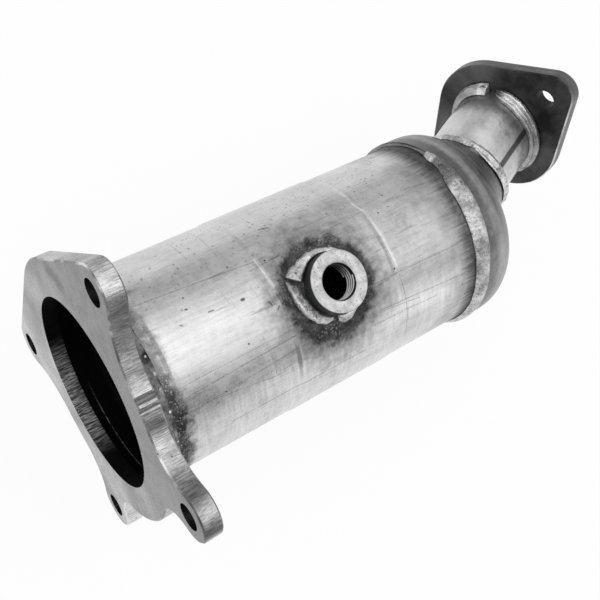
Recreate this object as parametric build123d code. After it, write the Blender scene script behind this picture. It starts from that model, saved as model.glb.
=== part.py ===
from build123d import *
import math
import os

os.makedirs("parts", exist_ok=True)

# Catalytic converter in millimetres. The origin is the centre of the inlet flange's mating face.
# +X runs along the can to the outlet and the outlet turns towards +Y, in the inlet flange's
# plane of symmetry. The sensor port faces +Z, leaned a little to -Y. Angles on the inlet flange
# are counted from +Y towards +Z.

# Can
can_diameter = 101.6
can_wall = 1.5
can_length = 199.5
sizing_depth = 0.4
sizing_ramp = 2.0
sizing_overhang = 1.5
slip = 0.05

# Inlet flange
inlet_thickness = 9.0
inlet_ledge = 1.65
inlet_socket = 1.5
inlet_rim = 14.2
inlet_apex_rim = 15.2
inlet_lobe_radius = 12.0
inlet_bolt_circle = 169.5
inlet_bolt_hole = 12.4
near_lobe_angle = 65.4
far_lobe_angle = 134.2
near_blend = 40.0
far_inner_blend = 25.0
far_outer_blend = 18.0
notch_angle = 100.4
notch_spacing = 4.9
notch_radius = 1.9
notch_depth = 1.2
edge_break = 0.7
inlet_weld_length = 8.5
inlet_weld_height = 6.0
fillet_fullness = 0.57  # how far along each leg a fillet weld's crown lies: 0.5 is a flat weld

# Sensor boss
boss_distance = 109.1
port_lean_angle = 2.5
boss_diameter = 29.4
boss_height = 7.0
boss_pilot = 23.0
boss_pilot_depth = 4.0
port_diameter = 16.5
port_mouth = 18.7
boss_weld_spread = 6.6
boss_weld_shift = 7.8
boss_weld_climb = 5.0
boss_weld_upper_angles = (78, 154)
boss_weld_lower_angles = (158, 236)
boss_weld_end_angles = (256, 302)

# Bricks, mats and seals
mat_thickness = 2.4
front_brick_start = 24.0
front_brick_length = 55.0
rear_brick_margin = 17.0
rear_brick_length = 45.0
channel_pitch = 8.6
channel_wall = 1.2
brick_skin = 1.4
seal_length = 5.0

# End cone: a domed end on the can's axis, with a neck on the outlet axis
cone_wall = 1.8
skirt_overlap = 8.0
skirt_length = 9.8
dome_knuckle = 17.5
dome_slope_angle = 54.5
outlet_pivot_margin = 4.5
outlet_turn_angle = 24.2
throat_start = 14.0
throat_end = 44.0
throat_flare = 11.0
neck_end = 49.5
cone_weld_front = 4.8
cone_weld_back = 4.6
neck_weld_front = 2.9
neck_weld_back = 2.2
bead_crown = 1.5
bead_flat = 0.5  # how much of a bead's width its crown takes

# Outlet pipe and flange
pipe_diameter = 50.8
pipe_wall = 1.5
pipe_start = 41.0
pipe_bend_reach = 83.7
pipe_bend_radius = 60.0
flange_turn_angle = 15.25
flange_reach = 5.0
outlet_thickness = 7.0
pipe_setback = 2.0
outlet_waist_radius = 40.7
outlet_tip_radius = 11.6
outlet_tip_spacing = 102.5
outlet_bolt_spacing = 88.4
outlet_bolt_hole = 11.0
outlet_shift = 0.8
outlet_weld_height = 5.7
outlet_weld_length = 5.8
outlet_weld_gap_angle = 44.0
outlet_weld_open_angle = 11.0

# Sizes that follow
can_radius = can_diameter / 2
can_bore = can_radius - can_wall
can_start = inlet_thickness - inlet_socket
can_end = can_start + can_length
inlet_bore_radius = can_bore - inlet_ledge
inlet_ring_radius = can_radius + inlet_rim
inlet_apex_radius = can_radius + inlet_apex_rim
mat_radius = can_bore - sizing_depth
brick_radius = mat_radius - mat_thickness
front_brick = (front_brick_start, front_brick_start + front_brick_length)
rear_brick = (can_end - rear_brick_margin - rear_brick_length, can_end - rear_brick_margin)
skirt_start = can_end - skirt_overlap
skirt_end = skirt_start + skirt_length
skirt_radius = can_radius + slip + cone_wall
pipe_radius = pipe_diameter / 2
neck_radius = pipe_radius + slip + cone_wall


def direction(turn):
    """Unit vector in the XY plane, turned from +X towards +Y."""
    return Vector(math.cos(math.radians(turn)), math.sin(math.radians(turn)), 0)


outlet_axis = direction(outlet_turn_angle)
flange_axis = direction(flange_turn_angle)
pivot = Vector(can_end - outlet_pivot_margin, 0, 0)
bend_point = pivot + outlet_axis * pipe_bend_reach
flange_centre = bend_point + flange_axis * flange_reach


def square_to(point, axis):
    """Plane at a point, normal to an axis, with its local Y along +Z."""
    return Plane(origin=point, x_dir=Vector(0, 0, 1).cross(axis), z_dir=axis)


def polar(radius, angle):
    return Vector(radius * math.cos(math.radians(angle)), radius * math.sin(math.radians(angle)))


def turned(*points):
    """Solid of revolution about X from (distance, radius) corners."""
    return revolve(make_face(Polyline(*points, close=True)), Axis.X)


def rod(radius, start, end):
    """Cylinder from one point to another."""
    axis = end - start
    return extrude(Plane(origin=start, z_dir=axis) * Circle(radius), axis.length)


def beside_axis(axis_start, axis):
    """Plane whose local X runs along an axis in the XY plane and whose local Y is the radius."""
    return Plane(origin=axis_start, x_dir=axis, z_dir=Vector(0, 0, 1))


def on_outlet_axis(profile):
    """Solid of revolution about the outlet axis from a face in (distance, radius)."""
    return revolve(beside_axis(pivot, outlet_axis) * profile, Axis(pivot, outlet_axis))


# Inlet flange
def blend_arc(lobe_angle, blend_radius, side):
    """Hollow arc that touches the ring and a lobe: its ends on the ring and lobe, and its middle."""
    lobe_reach = inlet_bolt_circle / 2
    ring_reach = inlet_ring_radius + blend_radius
    lobe_gap = inlet_lobe_radius + blend_radius
    cosine = (lobe_reach**2 + ring_reach**2 - lobe_gap**2) / (2 * lobe_reach * ring_reach)
    centre = polar(ring_reach, lobe_angle + side * math.degrees(math.acos(cosine)))
    lobe = polar(lobe_reach, lobe_angle)
    on_ring = centre * (inlet_ring_radius / ring_reach)
    on_lobe = lobe + (centre - lobe).normalized() * inlet_lobe_radius
    inward = (on_ring - centre).normalized() + (on_lobe - centre).normalized()
    return on_ring, centre + inward.normalized() * blend_radius, on_lobe


def inlet_outline():
    """Half the outline from the apex on +Y round to -Y, mirrored about Y."""
    lobe_reach = inlet_bolt_circle / 2
    near_lobe = polar(lobe_reach, near_lobe_angle)
    lean = math.degrees(math.acos((inlet_apex_radius - inlet_lobe_radius) / lobe_reach))
    roof_angle = near_lobe_angle - lean
    apex = polar(inlet_apex_radius, 0)
    roof_start = polar(inlet_apex_radius, roof_angle)
    roof_end = near_lobe + polar(inlet_lobe_radius, roof_angle)
    ring_1, middle_1, lobe_1 = blend_arc(near_lobe_angle, near_blend, 1)
    ring_2, middle_2, lobe_2 = blend_arc(far_lobe_angle, far_inner_blend, -1)
    ring_3, middle_3, lobe_3 = blend_arc(far_lobe_angle, far_outer_blend, 1)
    ring_angle = (near_lobe_angle + far_lobe_angle) / 2
    ring_end = polar(inlet_ring_radius, 180)
    half = Curve() + [
        ThreePointArc(apex, polar(inlet_apex_radius, roof_angle / 2), roof_start),
        Line(roof_start, roof_end),
        ThreePointArc(roof_end, polar(lobe_reach + inlet_lobe_radius, near_lobe_angle), lobe_1),
        ThreePointArc(lobe_1, middle_1, ring_1),
        ThreePointArc(ring_1, polar(inlet_ring_radius, ring_angle), ring_2),
        ThreePointArc(ring_2, middle_2, lobe_2),
        ThreePointArc(lobe_2, polar(lobe_reach + inlet_lobe_radius, far_lobe_angle), lobe_3),
        ThreePointArc(lobe_3, middle_3, ring_3),
        ThreePointArc(ring_3, (ring_3 + ring_end).normalized() * inlet_ring_radius, ring_end),
    ]
    return half + mirror(half, Plane.XZ)


def inlet_bolt_points():
    angles = (near_lobe_angle, far_lobe_angle, -far_lobe_angle, -near_lobe_angle)
    return [polar(inlet_bolt_circle / 2, angle) for angle in angles]


def inlet_flange():
    plate = extrude(Plane.YZ * make_face(inlet_outline()), inlet_thickness)
    rims = plate.edges().filter_by(lambda edge: abs(edge.bounding_box().size.X) < 0.01)
    plate = chamfer(rims, edge_break)
    face = Plane.YZ
    holes = [Pos(*point) * Circle(inlet_bolt_hole / 2) for point in inlet_bolt_points()]
    plate -= extrude(face * Sketch(children=holes), inlet_thickness)
    plate -= extrude(face * Circle(inlet_bore_radius), inlet_thickness)
    socket_face = Plane.YZ.offset(can_start)
    plate -= extrude(socket_face * Circle(can_radius + slip), inlet_socket)
    groove_turn = math.degrees(notch_spacing / inlet_ring_radius)
    for side in (-0.5, 0.5):
        centre = polar(inlet_ring_radius + notch_radius - notch_depth, notch_angle + side * groove_turn)
        plate -= extrude(face * Pos(*centre) * Circle(notch_radius), inlet_thickness)
    return plate


def fillet_weld(root, inner, length, height):
    """Corners of a fillet weld in (distance, radius): root is where the plate lies, inner is the
    radius at which the weld starts, and a negative length lies on the other side of the plate."""
    crown = (root + length * fillet_fullness, inner + height * fillet_fullness)
    return (root, inner), (root, inner + height), crown, (root + length, inner)


def inlet_weld():
    return turned(*fillet_weld(inlet_thickness, can_radius, inlet_weld_length, inlet_weld_height))


def leaned(piece):
    """Turns what is modelled upright about the can's axis into line with the sensor port."""
    return Rot(port_lean_angle, 0, 0) * piece


# Can
def can_profile(radius):
    """The can's surface, stepped in over each brick, as (distance, radius) points."""
    points = [(can_start, radius)]
    for start, end in (front_brick, rear_brick):
        low, high = start - sizing_overhang, end + sizing_overhang
        points += [(low - sizing_ramp, radius), (low, radius - sizing_depth)]
        points += [(high, radius - sizing_depth), (high + sizing_ramp, radius)]
    return points + [(can_end, radius)]


def body_shell():
    can = turned(*can_profile(can_radius), *reversed(can_profile(can_bore)))
    port = rod(boss_pilot / 2 + slip, Vector(boss_distance, 0, 0), Vector(boss_distance, 0, can_diameter))
    return can - leaned(port)


# Sensor boss
def sensor_boss():
    foot = Vector(boss_distance, 0, can_radius / 2)
    top = Vector(boss_distance, 0, can_radius + boss_height)
    barrel = rod(boss_diameter / 2, foot, top)
    barrel = chamfer(barrel.edges().group_by(Axis.Z)[-1], edge_break)
    barrel -= rod(can_radius, Vector(0, 0, 0), Vector(can_end, 0, 0))
    pilot_end = Vector(boss_distance, 0, can_radius - boss_pilot_depth)
    barrel += rod(boss_pilot / 2, pilot_end, top - Vector(0, 0, edge_break))
    barrel -= rod(port_diameter / 2, foot, top)
    lead = (port_mouth - port_diameter) / 2
    mouth = Plane(origin=top) * Circle(port_mouth / 2)
    throat = Plane(origin=top - Vector(0, 0, lead)) * Circle(port_diameter / 2)
    return leaned(barrel - loft([mouth, throat]))


def boss_weld_ring():
    """Skewed mound round the bung's foot, wider on the inlet side."""
    low = can_radius - boss_weld_climb
    high = can_radius + boss_weld_climb
    foot = Pos(boss_distance - boss_weld_shift, 0, low) * Circle(boss_diameter / 2 + boss_weld_spread)
    crest = Pos(boss_distance, 0, high) * Circle(boss_diameter / 2 + slip)
    mound = loft([foot, crest])
    mound -= rod(can_radius, Vector(0, 0, 0), Vector(can_end, 0, 0))
    middle = Vector(boss_distance, 0, 0)
    return mound - rod(boss_diameter / 2, middle, middle + Vector(0, 0, can_diameter))


def sector(angles):
    """Wedge about the sensor port, between two angles counted from +X towards +Y."""
    start, end = angles
    reach = boss_diameter + boss_weld_spread
    corners = [(0, 0)] + [tuple(polar(reach, start + (end - start) * step / 3))[:2] for step in range(4)]
    wedge = Pos(boss_distance, 0, 0) * make_face(Polyline(*corners, close=True))
    return extrude(wedge, can_diameter)


# Bricks, mats and seals
def monolith(brick):
    start, end = brick
    cell = channel_pitch - channel_wall
    reach = brick_radius - brick_skin
    count = int(reach // channel_pitch)
    cells = []
    for column in range(-count, count + 1):
        for row in range(-count, count + 1):
            corner = math.hypot(abs(column) * channel_pitch + cell / 2, abs(row) * channel_pitch + cell / 2)
            if corner < reach:
                cells.append(Pos(column * channel_pitch, row * channel_pitch) * Rectangle(cell, cell))
    face = Circle(brick_radius) - Sketch(children=cells)
    return extrude(Plane.YZ.offset(start) * face, end - start)


def sleeve(start, end):
    """Tube between a brick and the shrunk can."""
    return extrude(Plane.YZ.offset(start) * (Circle(mat_radius) - Circle(brick_radius)), end - start)


# End cone
def dome(inset):
    """Solid domed end: straight skirt, rounded shoulder, then a cone towards the can's axis."""
    radius = skirt_radius - inset
    knuckle = dome_knuckle - inset
    slope = math.radians(dome_slope_angle)
    shoulder = (skirt_end, radius)
    middle = (skirt_end + knuckle * math.sin(slope / 2), radius - knuckle * (1 - math.cos(slope / 2)))
    foot = (skirt_end + knuckle * math.sin(slope), radius - knuckle * (1 - math.cos(slope)))
    apex = (foot[0] + foot[1] / math.tan(slope), 0)
    outline = Curve() + [
        Polyline(apex, (skirt_start, 0), (skirt_start, radius), shoulder),
        ThreePointArc(shoulder, middle, foot),
        Line(foot, apex),
    ]
    return revolve(make_face(outline), Axis.X)


def neck(inset):
    """Solid neck on the outlet axis, flared at its root so that it runs softly into the dome."""
    radius = neck_radius - inset
    corners = [(throat_start, 0), (throat_start, radius + throat_flare), (throat_end, radius)]
    corners += [(neck_end, radius), (neck_end, 0)]
    return on_outlet_axis(make_face(Polyline(*corners, close=True)))


def end_cone():
    return (dome(0) + neck(0)) - (dome(cone_wall) + neck(cone_wall))


def lap_bead(edge, inner, outer, front, back):
    """Bead over the edge of one tube lapped on another, in (distance, radius): edge is where the
    outer tube ends, inner and outer are the two radii, and front and back are how far it reaches."""
    middle = edge + (front + back) / 2
    flat = (front - back) * bead_flat / 2
    crown = outer + bead_crown
    corners = [(edge + front, inner), (middle + flat, crown), (middle - flat, crown)]
    corners += [(edge + back, outer), (edge, outer), (edge, inner)]
    return make_face(Polyline(*corners, close=True))


def cone_weld():
    profile = lap_bead(skirt_start, can_radius, skirt_radius, -cone_weld_front, cone_weld_back)
    return revolve(profile, Axis.X)


def neck_weld():
    return on_outlet_axis(lap_bead(neck_end, pipe_radius, neck_radius, neck_weld_front, -neck_weld_back))


# Outlet pipe and flange
def pipe_rod(radius):
    start = pivot + outlet_axis * pipe_start
    end = flange_centre + flange_axis * (outlet_thickness - pipe_setback)
    path = FilletPolyline(start, bend_point, end, radius=pipe_bend_radius)
    return sweep(square_to(start, outlet_axis) * Circle(radius), path=path)


def outlet_pipe():
    return pipe_rod(pipe_radius) - pipe_rod(pipe_radius - pipe_wall)


def outlet_flange():
    waist = Pos(outlet_shift, 0) * Circle(outlet_waist_radius)
    tips = [Pos(outlet_shift, side * outlet_tip_spacing / 2) * Circle(outlet_tip_radius) for side in (-1, 1)]
    outline = make_hull(waist.edges() + tips[0].edges() + tips[1].edges())
    face = square_to(flange_centre, flange_axis)
    plate = extrude(face * outline, outlet_thickness)
    rims = plate.edges().filter_by(lambda edge: abs(edge.tangent_at(0.5).dot(flange_axis)) < 0.01)
    plate = chamfer(rims, edge_break)
    plate -= extrude(face * Circle(pipe_radius + slip), outlet_thickness)
    for side in (-1, 1):
        hole = Pos(outlet_shift, side * outlet_bolt_spacing / 2) * Circle(outlet_bolt_hole / 2)
        plate -= extrude(face * hole, outlet_thickness)
    return plate


def outlet_weld():
    """Fillet bead from the pipe to the flange, with an open gap between its start and its end."""
    sunk = pipe_wall / 2
    corners = fillet_weld(0, pipe_radius - sunk, -outlet_weld_length, outlet_weld_height + sunk)
    bead = make_face(Polyline(*corners, close=True))
    ring = revolve(beside_axis(flange_centre, flange_axis) * bead, Axis(flange_centre, flange_axis))
    reach = outlet_waist_radius
    edges = [outlet_weld_gap_angle + side * outlet_weld_open_angle / 2 for side in (-1, 1)]
    corners = [(0, 0)] + [tuple(polar(reach, angle))[:2] for angle in edges]
    start = flange_centre - flange_axis * outlet_weld_length * 2
    wedge = square_to(start, flange_axis) * make_face(Polyline(*corners, close=True))
    gap = extrude(wedge, outlet_weld_length * 2)
    return ring - pipe_rod(pipe_radius) - gap


def front_and_rear(brick, name):
    start, end = brick
    return {
        f"{name}_monolith": monolith(brick),
        f"{name}_mat": sleeve(start + seal_length, end - seal_length),
        f"{name}_inlet_seal": sleeve(start, start + seal_length),
        f"{name}_outlet_seal": sleeve(end - seal_length, end),
    }


weld_ring = boss_weld_ring()
pieces = {
    "inlet_flange": inlet_flange(),
    "inlet_weld": inlet_weld(),
    "body_shell": body_shell(),
    "sensor_boss": sensor_boss(),
    "boss_weld_upper": leaned(weld_ring & sector(boss_weld_upper_angles)),
    "boss_weld_lower": leaned(weld_ring & sector(boss_weld_lower_angles)),
    "boss_weld_end": leaned(weld_ring & sector(boss_weld_end_angles)),
    "end_cone": end_cone(),
    "cone_weld": cone_weld(),
    "neck_weld": neck_weld(),
    "outlet_pipe": outlet_pipe(),
    "outlet_weld": outlet_weld(),
    "outlet_flange": outlet_flange(),
}
pieces.update(front_and_rear(front_brick, "front"))
pieces.update(front_and_rear(rear_brick, "rear"))

for node, piece in pieces.items():
    piece.label = node
    export_step(piece, f"parts/{node}.step")
    print(node, round(piece.volume), "mm3")
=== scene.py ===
# %% [markdown]
# # Catalytic converter
# A welded exhaust can with a wavy inlet flange, a sensor port and a domed end that turns into a
# short pipe. The solid pieces come from the CAD frame in metres. Here they get the look of real
# steel. CAD draws the welds as plain rings and the port without its thread, so these are modelled
# anew.

# %% Load the frame
import math

import bmesh
import bpy
from mathutils import Matrix, Vector, noise


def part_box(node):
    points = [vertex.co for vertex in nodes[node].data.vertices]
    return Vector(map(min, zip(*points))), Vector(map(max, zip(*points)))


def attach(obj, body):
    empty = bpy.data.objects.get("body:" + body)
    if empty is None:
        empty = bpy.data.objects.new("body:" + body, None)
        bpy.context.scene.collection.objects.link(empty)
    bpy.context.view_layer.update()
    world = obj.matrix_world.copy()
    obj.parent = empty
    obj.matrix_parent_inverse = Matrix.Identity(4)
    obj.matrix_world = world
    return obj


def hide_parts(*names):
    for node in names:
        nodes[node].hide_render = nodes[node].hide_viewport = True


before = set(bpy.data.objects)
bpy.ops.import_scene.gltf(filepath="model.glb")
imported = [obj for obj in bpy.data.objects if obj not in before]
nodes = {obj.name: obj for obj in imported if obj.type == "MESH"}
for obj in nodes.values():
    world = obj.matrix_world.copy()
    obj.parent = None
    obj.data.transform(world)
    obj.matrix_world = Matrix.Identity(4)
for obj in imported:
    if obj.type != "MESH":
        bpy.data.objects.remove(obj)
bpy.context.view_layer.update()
MM = 0.001

# %% [markdown]
# ## Camera
# The photograph was taken from above the inlet end. Its place, turn and lens were solved from the
# outlines of the flange, the can and the pipe, so the numbers are written here as they came out.
# A camera in Blender looks along its own -Z, so the matrix holds right, up and minus forward.

# %% Place the camera
eye = Vector((-0.08674, 0.01001, 0.40115))
right = Vector((0.79964, -0.42964, 0.41951))
up = Vector((0.39653, 0.90244, 0.16839))
forward = Vector((0.45093, -0.03169, -0.89200))

camera_data = bpy.data.cameras.new("camera")
camera_data.lens = 52.725
camera_data.sensor_width = 36.0
camera = bpy.data.objects.new("camera", camera_data)
bpy.context.scene.collection.objects.link(camera)
turn = Matrix((right, up, -forward)).transposed()
camera.matrix_world = Matrix.Translation(eye) @ turn.to_4x4()
bpy.context.scene.camera = camera
bpy.context.scene.view_settings.view_transform = "Standard"
print("camera looks along", tuple(round(v, 3) for v in forward))

# %% [markdown]
# ## Shader helpers
# Every finish here is built from nodes. Most of them are sums and products of patterns, and these
# read best as plain sums. So an output is wrapped in a Signal, and each operator between signals
# and numbers makes one Math node. `feed` is the other half: it links a signal to an input, or
# writes a number there.


# %% Signals
def feed(socket, value):
    """Link a signal to an input, or write a number, a grey level or a colour on it."""
    if isinstance(value, Signal):
        socket.id_data.links.new(value.socket, socket)
    elif socket.type != "RGBA":
        socket.default_value = value
    else:
        socket.default_value = (*value, 1) if isinstance(value, tuple) else (value,) * 3 + (1,)


def add(tree, kind, inputs=None, **settings):
    """Add a node with its options and inputs. Nodes stand in columns of eight as they are made."""
    node = tree.nodes.new(kind)
    column, row = divmod(len(tree.nodes), 8)
    node.location = (220 * column, -280 * row)
    for name, value in settings.items():
        setattr(node, name, value)
    for name, value in (inputs or {}).items():
        feed(node.inputs[name], value)
    return node


def operator(operation, swapped=False):
    """A method that makes a Math node of a signal and the other value."""
    def apply(signal, other=None):
        return signal.maths(operation, *((other, signal) if swapped else (signal, other)))
    return apply


class Signal:
    """An output that can stand in a sum. `a | b` is the stronger of two masks."""

    def __init__(self, socket):
        self.socket = socket
        self.tree = socket.id_data

    def maths(self, operation, first, second=None, clamp=False):
        node = add(self.tree, "ShaderNodeMath", operation=operation, use_clamp=clamp)
        feed(node.inputs[0], first)
        if second is not None:
            feed(node.inputs[1], second)
        return Signal(node.outputs[0])

    __add__, __radd__ = operator("ADD"), operator("ADD", swapped=True)
    __sub__, __rsub__ = operator("SUBTRACT"), operator("SUBTRACT", swapped=True)
    __mul__, __truediv__, __pow__ = operator("MULTIPLY"), operator("DIVIDE"), operator("POWER")
    __lt__, __gt__, __or__ = operator("LESS_THAN"), operator("GREATER_THAN"), operator("MAXIMUM")
    __abs__, root, angle = operator("ABSOLUTE"), operator("SQRT"), operator("ARCTAN2")


def signals(node):
    return {socket.name: Signal(socket) for socket in node.outputs}


print("signals ready")

# %% [markdown]
# A few steps come up again and again. A ramp turns a pattern into a grey level or a mask, a blend
# lays one grey over another where a mask is strong, and an overlay pushes a colour both ways by a
# pattern and keeps it where the pattern is at half.


# %% Ramps, blends and coordinates
def ramp(source, *stops, smooth=False):
    """Turn a signal into a grey level or mask. Stops are (position, level)."""
    node = add(source.tree, "ShaderNodeValToRGB", {"Fac": source})
    node.color_ramp.interpolation = "EASE" if smooth else "LINEAR"
    marks = node.color_ramp.elements
    while len(marks) < len(stops):
        marks.new(0.5)
    for mark, (position, level) in zip(marks, stops):
        mark.position = position
        mark.color = (level, level, level, 1)
    return Signal(node.outputs["Color"])


def blend(mask, below, above, mode="MIX"):
    """Mix two colours by a mask. Each of the three is a signal or a number."""
    tree = next(item.tree for item in (mask, below, above) if isinstance(item, Signal))
    node = add(tree, "ShaderNodeMix", data_type="RGBA", blend_type=mode)
    for index, value in zip((0, 6, 7), (mask, below, above)):
        feed(node.inputs[index], value)
    return Signal(node.outputs[2])


def overlay(colour, amount, source, *stops, smooth=False):
    return blend(amount, colour, ramp(source, *stops, smooth=smooth), "OVERLAY")


def strongest(masks):
    total, *others = masks
    for mask in others:
        total = total | mask
    return total


def distance(x, y):
    return (x * x + y * y).root()


def split(vector):
    return signals(add(vector.tree, "ShaderNodeSeparateXYZ", {"Vector": vector}))


def join(x, y, z):
    return Signal(add(x.tree, "ShaderNodeCombineXYZ", {"X": x, "Y": y, "Z": z}).outputs[0])


def mapping(vector, kind="POINT", **inputs):
    """Stretch or turn coordinates. The kind TEXTURE goes into the space that the inputs place."""
    return Signal(add(vector.tree, "ShaderNodeMapping", {"Vector": vector, **inputs},
                      vector_type=kind).outputs[0])


print("helpers ready")

# %% [markdown]
# ## Node groups
# Steel that has been rolled, pressed and welded shows the same few effects on every piece: cloudy
# mottling, fine lines from rolling, small pits and weld spatter. Each is a node group, built once,
# and every finish sets its own scale. They all read coordinates that are passed in, so a finish may
# unroll a tube first and lay the pattern round it.


# %% Start and use a node group
def start_group(name, inputs, outputs):
    """A new group. Inputs are {name: number}, where None stands for a vector."""
    tree = bpy.data.node_groups.new(name, "ShaderNodeTree")
    for label, value in inputs.items():
        kind = "NodeSocketVector" if value is None else "NodeSocketFloat"
        socket = tree.interface.new_socket(label, in_out="INPUT", socket_type=kind)
        if value is not None:
            socket.default_value = value
    for label in outputs:
        tree.interface.new_socket(label, in_out="OUTPUT", socket_type="NodeSocketFloat")
    entry, leave = add(tree, "NodeGroupInput"), add(tree, "NodeGroupOutput")
    leave.location = (1100, 0)
    print("group", name)
    return tree, signals(entry), leave.inputs


def use_group(group, **values):
    """Use a group. An underscore in an input's name stands for a space."""
    tree = next(value.tree for value in values.values() if isinstance(value, Signal))
    inputs = {name.replace("_", " "): value for name, value in values.items()}
    return signals(add(tree, "ShaderNodeGroup", inputs, node_tree=group))


def cloud(place, scale, detail, roughness):
    return Signal(add(place.tree, "ShaderNodeTexNoise", {
        "Vector": place, "Scale": scale, "Detail": detail, "Roughness": roughness}).outputs["Fac"])


# %% [markdown]
# The mottling group gives a broad cloud, a fine cloud and a grain. Each output is a value about
# 0.5, which the finish stretches to the contrast it needs.

# %% Mottling group
mottling, entry, leave = start_group(
    "mottling", {"Place": None, "Scale": 60.0}, ("Cloud", "Fine", "Grain"))
for label, factor, detail, roughness in (
        ("Cloud", 1, 5, 0.6), ("Fine", 5, 8, 0.68), ("Grain", 24, 4, 0.6)):
    feed(leave[label], cloud(entry["Place"], entry["Scale"] * factor, detail, roughness))


def mottle(place, scale):
    return use_group(mottling, Place=place, Scale=scale)


print(len(mottling.nodes), "nodes")

# %% [markdown]
# Rolling and handling leave lines that all run one way. The streak group shrinks the distance along
# the line, so noise is drawn out into long thin marks. It also gives sparse scratches, which are
# the highest peaks of a second noise of that kind.

# %% Streak group
streaks, entry, leave = start_group(
    "streaks", {"Along": 0.0, "Across": 0.0, "Depth": 0.0, "Scale": 900.0, "Length": 0.04},
    ("Lines", "Scratches"))
place = join(entry["Along"] * entry["Length"], entry["Across"], entry["Depth"])
feed(leave["Lines"], cloud(place, entry["Scale"], 6, 0.7))
peaks = cloud(place, entry["Scale"] * 0.45, 2, 0.7)
feed(leave["Scratches"], ramp(peaks, (0.66, 0), (0.72, 1)))


def streak(along, across, scale, length):
    return use_group(streaks, Along=along, Across=across, Scale=scale, Length=length)


print(len(streaks.nodes), "nodes")

# %% [markdown]
# Pits and spatter are both small round marks at random places. A Voronoi texture gives the distance
# to the nearest of many scattered points, so a low limit on it makes dots. The cell's own random
# colour picks which dots show.

# %% Dots group
dots, entry, leave = start_group(
    "dots", {"Place": None, "Scale": 200.0, "Size": 0.2, "Share": 0.55}, ("Mask",))
cells = signals(add(dots, "ShaderNodeTexVoronoi",
                    {"Vector": entry["Place"], "Scale": entry["Scale"]}))
spot = ramp(cells["Distance"] / entry["Size"], (0.55, 1), (1.0, 0), smooth=True)
pick = add(dots, "ShaderNodeSeparateColor", {"Color": cells["Color"]})
feed(leave["Mask"], spot * (Signal(pick.outputs[0]) < entry["Share"]))


def speckle(place, scale, size, share):
    """Dots of a size, as part of a cell. The share of the cells that have one goes from 0 to 1."""
    return use_group(dots, Place=place, Scale=scale, Size=size, Share=share)["Mask"]


print(len(dots.nodes), "nodes")

# %% [markdown]
# A tube's surface is unrolled before a pattern is laid on it. The angle round the axis times the
# radius is a length, so marks keep their true size. The seam of the angle lies underneath.

# %% Unroll group
unroll, entry, leave = start_group(
    "unroll", {"Y": 0.0, "Z": 0.0, "Radius": 0.05}, ("Around", "Out"))
feed(leave["Around"], (entry["Y"] * -1.0).angle(entry["Z"]) * entry["Radius"])
feed(leave["Out"], (entry["Y"] ** 2.0 + entry["Z"] ** 2.0).root())


def unrolled(place, radius):
    """The parts X, Y and Z of some coordinates, and the lengths Around X and Out from it."""
    parts = split(place)
    return {**parts, **use_group(unroll, Y=parts["Y"], Z=parts["Z"], Radius=radius)}


print(len(unroll.nodes), "nodes")

# %% [markdown]
# A crease is a straight thin line on a flat or unrolled sheet. The group measures how far a point
# is from the segment between two ends, and the mask fades towards the line's edge.

# %% Crease group
crease, entry, leave = start_group(
    "crease", {"Along": 0.0, "Around": 0.0, "Start Along": 0.0, "Start Around": 0.0,
               "End Along": 1.0, "End Around": 0.0, "Width": 0.0003}, ("Mask",))
dx = entry["End Along"] - entry["Start Along"]
dy = entry["End Around"] - entry["Start Around"]
px = entry["Along"] - entry["Start Along"]
py = entry["Around"] - entry["Start Around"]
share = dx.maths("DIVIDE", px * dx + py * dy, dx * dx + dy * dy, clamp=True)
near = distance(px - share * dx, py - share * dy) / entry["Width"]
feed(leave["Mask"], ramp(near, (0.25, 1), (1.0, 0), smooth=True))


def line_mask(along, around, start, end, width):
    """A crease between two points, each (along, around), with its width, in metres."""
    return use_group(crease, Along=along, Around=around, Width=width,
                     Start_Along=start[0], Start_Around=start[1],
                     End_Along=end[0], End_Around=end[1])["Mask"]


print(len(crease.nodes), "nodes")

# %% [markdown]
# ## Finishes
# Each material starts the same way: a Principled shader and the object's own coordinates in metres.
# Soot fades away from each weld. Its mask is a smooth step on the distance from the weld, and a
# cloud shakes that distance, so the edge is ragged.


# %% Start and finish a material
def start_material(name, metallic, roughness):
    """Give a new material, its coordinates and its surface normal."""
    material = bpy.data.materials.new(name)
    material.use_nodes = True
    shader = material.node_tree.nodes["Principled BSDF"]
    shader.inputs["Metallic"].default_value = metallic
    shader.inputs["Roughness"].default_value = roughness
    place = signals(add(material.node_tree, "ShaderNodeTexCoord"))
    return material, place["Object"], place["Normal"]


def finish_material(material, colour, gloss, height, depth):
    """Feed the shader: colour, roughness and a bump whose depth is in metres."""
    tree = material.node_tree
    bump = add(tree, "ShaderNodeBump", {"Height": height, "Distance": depth, "Strength": 1.0})
    shader = tree.nodes["Principled BSDF"]
    right_end = 220 * (len(tree.nodes) // 8 + 1)
    shader.location = (right_end, 0)
    tree.nodes["Material Output"].location = (right_end + 350, 0)
    feed(shader.inputs["Base Color"], colour)
    feed(shader.inputs["Roughness"], gloss)
    feed(shader.inputs["Normal"], Signal(bump.outputs["Normal"]))
    print(material.name, len(tree.nodes), "nodes")


def dress(node, material):
    """Give a CAD node a finish in each of its own slots."""
    slots = nodes[node].data.materials
    for index in range(len(slots)):
        slots[index] = material
    if not slots:
        slots.append(material)


def scorch(gap, near, far, wobble, amount):
    """Soot by the gap to a weld: full at near, gone at far, shaken by an amount, all in mm."""
    node = add(gap.tree, "ShaderNodeMapRange", {
        "Value": gap + (wobble - 0.5) * (amount * MM), "From Min": near * MM,
        "From Max": far * MM, "To Min": 1.0, "To Max": 0.0},
        interpolation_type="SMOOTHSTEP", clamp=True)
    return Signal(node.outputs["Result"])


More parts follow.
